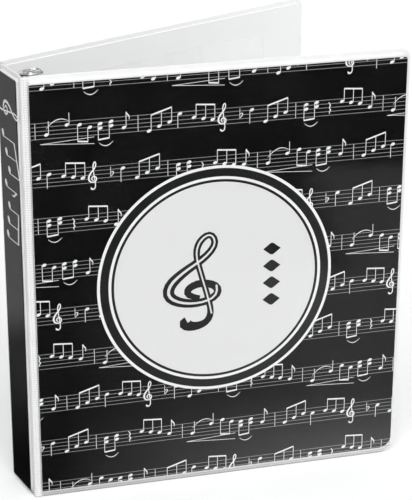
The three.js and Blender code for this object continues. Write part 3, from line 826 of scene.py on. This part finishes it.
def curve_bmesh(curve):
    """The strokes of a curve as solid beads."""
    holder = bpy.data.objects.new("strokes", curve)
    scene.collection.objects.link(holder)
    bpy.context.view_layer.update()
    shown = holder.evaluated_get(bpy.context.evaluated_depsgraph_get())
    mesh = bpy.data.meshes.new_from_object(shown)
    bpy.data.objects.remove(holder)
    bpy.data.curves.remove(curve)
    bm = bmesh.new()
    bm.from_mesh(mesh)
    bpy.data.meshes.remove(mesh)
    return bm


def thumb_tab(end):
    """The rolled rim and the shallow dome pressed into the tab of a trigger."""
    curve = new_curve(RIM_RADIUS, 3)
    rim = curve.splines.new("POLY")
    corner, half = TAB["corner"], TAB["half"]
    stops = [(quarter, math.pi / 2 * (quarter + step / RIM_STEPS))
             for quarter in range(4) for step in range(RIM_STEPS + 1)]
    rim.points.add(len(stops) - 1)
    rim.use_cyclic_u = True
    rise_start, height, slope = TAB_RISE
    for point, (quarter, turn) in zip(rim.points, stops):
        centre_u = TAB["end"] - corner if quarter in (0, 3) else TAB["start"] + corner
        centre_v = half - corner if quarter in (0, 1) else corner - half
        u, v = centre_u + corner * math.cos(turn), centre_v + corner * math.sin(turn)
        point.co = (u, v, height + slope * (u - rise_start), 1)
    bm = curve_bmesh(curve)
    dome = Matrix.Translation(DOME_PLACE) @ Matrix.Diagonal((*DOME_SIZE, 1))
    bmesh.ops.create_uvsphere(bm, u_segments=32, v_segments=16, radius=1, matrix=dome)
    if end == "bottom":
        bmesh.ops.scale(bm, verts=bm.verts, vec=(1, 1, -1),
                        space=Matrix.Translation((0, 0, -HEIGHT / 2)))
        bmesh.ops.reverse_faces(bm, faces=bm.faces[:])
    settle(bm, f"thumb_tab_{end}", MECHANISM, "nickel_plate", f"lever_{end}",
           sharp=60)


# Print: strokes and heads of ink, each a lens-shaped bead that stands a hair proud of the paper

def ink_mesh(strokes, heads=(), relief=0.02, sides=2):
    """One figure. A stroke is [(u, z, half width), ...] and a head is its (u, z)."""
    curve = new_curve(1, sides)
    curve.use_fill_caps = True
    curve.resolution_u = 3
    for stroke in strokes:
        straight = len(stroke) == 2
        spline = curve.splines.new("POLY" if straight else "NURBS")
        spline.points.add(len(stroke) - 1)
        for point, (u, z, half) in zip(spline.points, stroke):
            point.co = (u, 0, z, 1)
            point.radius = half
        if not straight:
            spline.order_u = 3
            spline.use_endpoint_u = True
    bm = curve_bmesh(curve)
    widest = max([half for stroke in strokes for _, _, half in stroke] + [0.1])
    bmesh.ops.scale(bm, verts=bm.verts, vec=(1, relief / widest, 1))
    leaning = Matrix.Rotation(-math.radians(24), 4, "Y") @ Matrix.Diagonal((1.55, relief, 1.02, 1))
    for u, z in heads:
        bmesh.ops.create_uvsphere(bm, u_segments=10, v_segments=6, radius=1,
                                  matrix=Matrix.Translation((u, 0, z)) @ leaning)
    mesh = bpy.data.meshes.new("figure")
    bm.to_mesh(mesh)
    bm.free()
    return mesh


def line(u0, z0, u1, z1, half=STEM):
    return [(u0, z0, half), (u1, z1, half)]


CLEF = [  # one continuous stroke, in stave gaps from the line that it curls round
    (0.05, -0.55, 0.10), (-0.45, -0.35, 0.14), (-0.5, 0.3, 0.16), (0.05, 0.75, 0.17),
    (0.75, 0.4, 0.17), (0.85, -0.4, 0.17), (0.25, -1.0, 0.17), (-0.65, -0.95, 0.2),
    (-1.3, -0.3, 0.24), (-1.25, 0.75, 0.25), (-0.6, 1.8, 0.2), (0.3, 2.8, 0.17), (0.75, 3.9, 0.15),
    (0.5, 4.8, 0.14), (0.05, 4.3, 0.16), (-0.15, 3.2, 0.14), (0.1, 1.4, 0.13), (0.4, -0.6, 0.13),
    (0.55, -2.0, 0.14), (0.3, -2.8, 0.15), (-0.3, -3.0, 0.2), (-0.65, -2.6, 0.3),
    (-0.5, -2.45, 0.22),
]


def clef(gap, spread=1, weight=1, points=CLEF):
    return [[(spread * gap * u, gap * z, gap * half * weight) for u, z, half in points]]


def slur(width, height, ends=0.0):
    return [(width * t, ends * t + height * 4 * t * (1 - t), 0.1 + 0.75 * t * (1 - t))
            for t in (0, 0.12, 0.3, 0.5, 0.7, 0.88, 1)]


def stems(heads, across, end, slope):
    """Stems of the heads at (u, z), each as long as it takes to reach the sloping beam."""
    return [line(u + across, z, u + across, end + slope * u) for u, z in heads]


def figures():
    """The figures of common music notation that the sheet is strewn with: (mesh, room it takes)."""
    rising = [(0, -4.3), (6.6, -1.6), (13.2, 0.6)]
    level = [(0, 2.2), (6.2, 1.0), (12.2, -0.2)]
    falling = [(0, 3.6), (6.4, 1.4)]
    chords = [(0, 3.2), (0, 0.2), (7, 4.1), (7, 1.3)]
    flag = [(1.4, 8.2, 0.3), (2.0, 6.6, 0.5), (3.7, 5.2, 0.34), (3.3, 3.0, 0.12)]
    bowl = [(0, 0.6, 0.16), (1.3, 1.5, 0.3), (2.1, 0.4, 0.34), (0.9, -1.3, 0.24), (0, -2.2, 0.14)]
    crook = [(0, 3.6, 0.2), (1.7, 1.4, 0.46), (0.2, 0.1, 0.26), (1.9, -2.3, 0.36),
             (0.1, -2.5, 0.34), (1.0, -4.4, 0.14)]
    drawn = {
        "rising": (20, [*stems(rising, 1.4, 6.2, 0.3), line(1.3, 6.0, 14.7, 10.2, BEAM)], rising),
        "level": (19, [*stems(level, 1.4, 10.6, -0.08), line(1.3, 10.6, 13.7, 9.6, BEAM)], level),
        "falling": (13, [*stems(falling, -1.4, -7.2, -0.1), line(-1.5, -7.2, 5.1, -7.9, BEAM)],
                    falling),
        "chords": (15, [line(-1.4, 3.4, -1.4, -7.4), line(5.6, 4.3, 5.6, -6.5),
                        line(-1.5, -7.3, 5.7, -6.5, BEAM)], chords),
        "quaver": (9, [line(1.4, -1.6, 1.4, 8.2), flag], [(0, -1.9)]),
        "crotchet": (9, [line(-1.4, 2.6, -1.4, -6.4)], [(0, 2.8)]),
        "slurred": (21, [line(1.4, -3.6, 1.4, 4.8), line(14.4, 1.8, 14.4, 9.4), slur(14, 3.4, 4.2)],
                    [(0, -3.9), (13, 1.6)]),
        "clef": (11, clef(0.92 * STAVE_GAP), ()),
        "flat": (8, [line(0, 4.4, 0, -2.2, 0.16), bowl], ()),
        "rest": (9, [crook], ()),
        "bar": (7, [line(0, -2 * STAVE_GAP, 0, 2 * STAVE_GAP, 0.16)], ()),
        "hairpin": (0, [line(0, -8.6, 34, -6.4, LINE), line(0, -8.6, 34, -10.8, LINE)], ()),
        "tie": (0, [slur(9, -2.6, 0.6)], ()),
    }
    return {name: (ink_mesh(strokes, heads), room)
            for name, (room, strokes, heads) in drawn.items()}


def trim(bm, sheet):
    """Cuts a figure off just inside the edges of its sheet."""
    for axis, edge, way in ((0, "u0", -1), (0, "u1", 1), (2, "z0", -1), (2, "z1", 1)):
        limit = sheet[edge] - way * 0.05
        if all(way * (vert.co[axis] - limit) <= 0 for vert in bm.verts):
            continue
        spot, outwards = Vector(), Vector()
        spot[axis], outwards[axis] = limit, way
        geometry = bm.verts[:] + bm.edges[:] + bm.faces[:]
        bmesh.ops.bisect_plane(bm, geom=geometry, plane_co=spot, plane_no=outwards,
                               clear_outer=True)
        bmesh.ops.holes_fill(bm, edges=[edge for edge in bm.edges if edge.is_boundary], sides=0)


def stamp(bm, mesh, place, sheet=None):
    """Adds one figure to a print, laid down at its place."""
    laid = mesh.copy()
    laid.transform(place)
    if sheet:
        figure = bmesh.new()
        figure.from_mesh(laid)
        trim(figure, sheet)
        figure.to_mesh(laid)
        figure.free()
    bm.from_mesh(laid)
    bpy.data.meshes.remove(laid)


def sheet_spot(u, z, depth=PAPER_DEPTH):
    return Matrix.Translation((u, -depth, z))


def print_front_sheet():
    """Rows of staves across the sheet, with a phrase that repeats and shifts from row to row."""
    figure = figures()
    phrase = ["clef", "flat", "crotchet", "rising", "bar", "chords", "rest", "level", "quaver",
              "bar", "slurred", "falling", "chords", "quaver", "bar", "rising", "crotchet", "level"]
    length = sum(figure[name][1] for name in phrase)
    draw = random.Random(7)
    staves, notes = bmesh.new(), bmesh.new()
    stave = ink_mesh([line(SHEET["u0"], gap * STAVE_GAP, SHEET["u1"], gap * STAVE_GAP, LINE)
                      for gap in range(-2, 3)], relief=0.006)
    for row in range(ROWS):
        z = SHEET["z1"] + 1.5 - ROW_PITCH * row
        stamp(staves, stave, sheet_spot(0, z), SHEET)
        u = SHEET["u0"] - 20 - (row * 0.37 % 1) * length
        while u < SHEET["u1"] + 15:
            for name in phrase:
                mesh, room = figure[name]
                if SHEET["u0"] - 16 < u < SHEET["u1"] + 3:
                    lift = 0
                    if name not in ("clef", "bar", "flat"):
                        lift = STAVE_GAP / 2 * draw.choice((-1, 0, 0, 1))
                    drop = -STAVE_GAP if name == "clef" else lift
                    stamp(notes, mesh, sheet_spot(u, z + drop), SHEET)
                    if name == "slurred":
                        stamp(notes, figure["hairpin"][0], sheet_spot(u - 4, z), SHEET)
                    if name == "chords":
                        stamp(notes, figure["tie"][0], sheet_spot(u - 1, z + lift - 9.3), SHEET)
                u += room
    settle(staves, "stave_print", FRONT, "grey_ink", "front_cover", sharp=80)
    settle(notes, "notes_print", FRONT, "white_ink", "front_cover", sharp=80)


def disc(name, radius, from_depth, to_depth, finish):
    bm = bmesh.new()
    bmesh.ops.create_circle(bm, cap_ends=True, segments=160, radius=radius)
    upright = Matrix.Rotation(math.pi / 2, 3, "X")
    bmesh.ops.rotate(bm, verts=bm.verts, cent=(0, 0, 0), matrix=upright)
    bmesh.ops.translate(bm, verts=bm.verts, vec=(ROUNDEL[0], -from_depth, ROUNDEL[1]))
    made = bmesh.ops.extrude_face_region(bm, geom=bm.faces[:])["geom"]
    bmesh.ops.translate(bm, verts=made_of(bmesh.types.BMVert, made),
                        vec=(0, from_depth - to_depth, 0))
    bmesh.ops.recalc_face_normals(bm, faces=bm.faces[:])
    settle(bm, name, FRONT, finish, "front_cover", sharp=30)


def print_roundel():
    """The ringed medallion in the middle of the front sheet, with a plain ornament in it."""
    depth = PAPER_DEPTH
    for step, (name, radius, finish) in enumerate(ROUNDEL_RINGS, start=1):
        top = PAPER_DEPTH + 0.03 + 0.012 * step
        disc(f"roundel_{name}", radius, depth, top, finish)
        depth = top
    ornament, inlay = bmesh.new(), bmesh.new()
    thick = clef(ORNAMENT_GAP, ORNAMENT_SPREAD, 1.9)
    thin = clef(ORNAMENT_GAP, ORNAMENT_SPREAD, 0.5, CLEF[4:19])
    middle = (ROUNDEL[0] - 11.5, ROUNDEL[1] - 7)
    stamp(ornament, ink_mesh(thick, relief=0.016, sides=4), sheet_spot(*middle, depth))
    stamp(inlay, ink_mesh(thin, relief=0.006, sides=3), sheet_spot(*middle, depth + 0.014))
    lozenge = ink_mesh([[(-6, 0, 0.05), (-3, 0, 2.4), (0, 0, 4.8), (3, 0, 2.4), (6, 0, 0.05)]],
                       relief=0.012)
    for step in range(4):
        spot = sheet_spot(ROUNDEL[0] + 38, ROUNDEL[1] - 18 + 12 * step, depth)
        stamp(ornament, lozenge, spot)
    settle(ornament, "roundel_ornament", FRONT, "black_ink", "front_cover",
           sharp=80)
    settle(inlay, "roundel_inlay", FRONT, "pale_ink", "front_cover", sharp=80)


def print_spine_sheet():
    """A few large notes down the spine sheet."""
    figure = figures()
    bm = bmesh.new()
    large = Matrix.Rotation(math.pi / 2, 4, "Y") @ Matrix.Diagonal((1.7, 0.7 * 1.7, 1.7, 1))
    for name, z, across in (("clef", 266, 15.5), ("rising", 249, 16.5), ("quaver", 216, 14.5),
                            ("level", 202, 11.5)):
        stamp(bm, figure[name][0], sheet_spot(across, z) @ large)
    settle(bm, "spine_print", SPINE, "white_ink", "spine", sharp=80)


set_camera()
set_world()
sky_lamp((-0.2, -0.6, 0.77), 2.3, 60)
soft_light("front_left", (-1.3, -1.2, 0.9), (0, 0, 0.12), (1.2, 1.2), 1.5)
studio_floor()

for name, width, free, place, body in (
    ("front", COVER_WIDTH, True, FRONT, "front_cover"),
    ("spine", SPINE_WIDTH, False, SPINE, "spine"),
    ("back", COVER_WIDTH, True, BACK, "back_cover"),
):
    outer_skin(name, width, free, place, body)
    inner_skin(name, width, free, place, body)
    clear_pocket(name, width, free, place, body)
    keep_node(f"{name}_board", "greyboard")
    if name != "spine":
        inner_pocket(name, place, body)
    if name != "back":
        keep_node(f"{name}_insert", "black_sheet")

print_front_sheet()
print_roundel()
print_spine_sheet()

for inner, layer in ((False, "outer"), (True, "inner")):
    welded_web(f"front_hinge_{layer}", FRONT_HINGE, -FRONT_OPENED, -1, inner)
    welded_web(f"back_hinge_{layer}", BACK_HINGE, BACK_OPENED, 1, inner)

for place_name, z in RING_HEIGHTS.items():
    for side_name in ("front", "back"):
        half_ring(place_name, side_name, z)
softened("ring_housing", "housing_shell", "nickel_plate", "spine", 0.12)
for end in ("top", "bottom"):
    softened(f"lever_{end}", f"trigger_{end}", "nickel_plate", f"lever_{end}", 0.14)
    thumb_tab(end)
    softened(f"lever_pin_{end}", f"trigger_pin_{end}", "plain_steel", "spine", 0.1)
for spot in ("lower", "upper"):
    softened(f"rivet_{spot}", f"rivet_cap_{spot}", "plain_steel", "spine", 0.1)
for side_name in ("front", "back"):
    softened(f"hinge_plate_{side_name}", f"rocker_{side_name}", "plain_steel",
             f"ring_side_{side_name}", 0.08)
